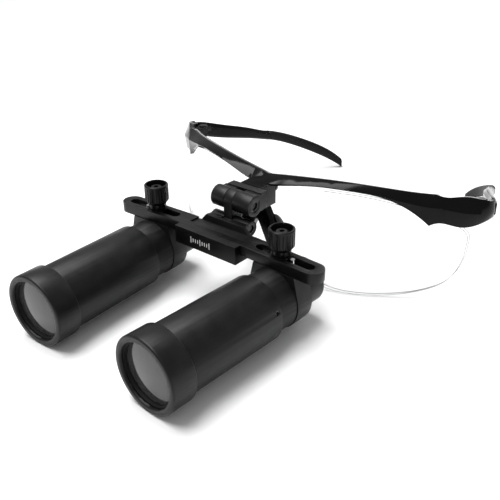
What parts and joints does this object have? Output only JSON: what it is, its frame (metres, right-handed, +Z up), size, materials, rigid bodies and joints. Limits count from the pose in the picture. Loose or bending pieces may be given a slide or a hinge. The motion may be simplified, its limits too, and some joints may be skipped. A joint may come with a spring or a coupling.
{
  "type": "dental loupes",
  "caption": "Flip-up dental loupes: a pair of toed-in prism telescopes slides along a slotted bar, hung by a double hinge from a wraparound spectacle frame.",
  "frame": {"origin": "centre of the object's footprint on the surface it lies on, under the middle of its width and length", "axes": "+X to the wearer's left, -Y the way the wearer looks, +Z up"},
  "size_m": [0.1568, 0.2137, 0.0447],
  "materials": {
    "cap_black": "black anodised, satin",
    "tube_black": "black anodised, satin",
    "cell_black": "black anodised, matt",
    "optical_glass": "polished, coated",
    "steel_screw": "blackened steel",
    "steel_pin": "bright steel",
    "washer_black": "black, satin",
    "knob_black": "black anodised, fluted",
    "bar_black": "black anodised, satin",
    "hinge_black": "black anodised, fine matt",
    "bracket_grey": "dark grey anodised",
    "frame_gloss": "high gloss black",
    "temple_gloss": "high gloss black",
    "clear_lens": "clear, polished",
    "pad_rubber": "soft grey rubber",
    "tip_rubber": "matt dark grey rubber"
  },
  "bodies": {
    "frame": {"front_frame": "frame_gloss", "nose_piece": "frame_gloss", "frame_bracket": "bracket_grey", "bracket_screws": "steel_screw", "upper_hinge_pin": "steel_screw", "upper_pin_nut": "steel_screw", "right_carrier_lens": "clear_lens", "left_carrier_lens": "clear_lens", "right_nose_pad": "pad_rubber", "left_nose_pad": "pad_rubber", "right_temple_pin": "steel_pin", "left_temple_pin": "steel_pin"},
    "link": {"hinge_link": "hinge_black"},
    "bar": {"slotted_bar": "bar_black", "lower_hinge_mount": "hinge_black", "mount_screws": "steel_screw", "lower_hinge_pin": "steel_screw", "lower_pin_nut": "steel_screw"},
    "right_telescope": {"right_objective_cap": "cap_black", "right_main_tube": "tube_black", "right_objective_crown_lens": "optical_glass", "right_objective_flint_lens": "optical_glass", "right_lens_retainer": "tube_black", "right_prism_housing": "tube_black", "right_tube_set_screw": "steel_screw", "right_prism_cell": "cell_black", "right_entrance_prism": "optical_glass", "right_roof_prism": "optical_glass", "right_eyepiece_tube": "tube_black", "right_field_lens": "optical_glass", "right_eyepiece_spacer": "cell_black", "right_eye_lens": "optical_glass", "right_knob_washer": "washer_black", "right_index_pin": "steel_pin"},
    "right_knob": {"right_thumb_knob": "knob_black", "right_knob_screw": "steel_screw"},
    "right_arm": {"right_temple": "temple_gloss", "right_temple_tip": "tip_rubber"},
    "left_telescope": {"left_objective_cap": "cap_black", "left_main_tube": "tube_black", "left_objective_crown_lens": "optical_glass", "left_objective_flint_lens": "optical_glass", "left_lens_retainer": "tube_black", "left_prism_housing": "tube_black", "left_tube_set_screw": "steel_screw", "left_prism_cell": "cell_black", "left_entrance_prism": "optical_glass", "left_roof_prism": "optical_glass", "left_eyepiece_tube": "tube_black", "left_field_lens": "optical_glass", "left_eyepiece_spacer": "cell_black", "left_eye_lens": "optical_glass", "left_knob_washer": "washer_black", "left_index_pin": "steel_pin"},
    "left_knob": {"left_thumb_knob": "knob_black", "left_knob_screw": "steel_screw"},
    "left_arm": {"left_temple": "temple_gloss", "left_temple_tip": "tip_rubber"}
  },
  "joints": [
    {"name": "upper_hinge_turn", "type": "hinge", "parent": "frame", "child": "link", "pos_m": [0, -0.03056, 0.03705], "axis": [-1, 0, 0], "range_deg": [-5, 60]},
    {"name": "lower_hinge_turn", "type": "hinge", "parent": "link", "child": "bar", "pos_m": [0, -0.03276, 0.02845], "axis": [-1, 0, 0], "range_deg": [-20, 25]},
    {"name": "right_telescope_slide", "type": "slide", "parent": "bar", "child": "right_telescope", "axis": [-0.9987, -0.0506, 0], "range_m": [-0.0055, 0.008]},
    {"name": "right_knob_turn", "type": "hinge", "parent": "right_telescope", "child": "right_knob", "pos_m": [-0.031, -0.04276, 0.02905], "axis": [0, 0, 1], "range_deg": [0, 270]},
    {"name": "right_temple_fold", "type": "hinge", "parent": "frame", "child": "right_arm", "pos_m": [-0.0722, 0.02814, 0.03445], "axis": [0, 0.0489, -0.9988], "range_deg": [0, 80]},
    {"name": "left_telescope_slide", "type": "slide", "parent": "bar", "child": "left_telescope", "axis": [0.9987, -0.0506, 0], "range_m": [-0.0055, 0.008]},
    {"name": "left_knob_turn", "type": "hinge", "parent": "left_telescope", "child": "left_knob", "pos_m": [0.031, -0.04276, 0.02905], "axis": [0, 0, 1], "range_deg": [0, 270]},
    {"name": "left_temple_fold", "type": "hinge", "parent": "frame", "child": "left_arm", "pos_m": [0.0722, 0.02814, 0.03445], "axis": [0, 0.0489, 0.9988], "range_deg": [0, 80]}
  ]
}
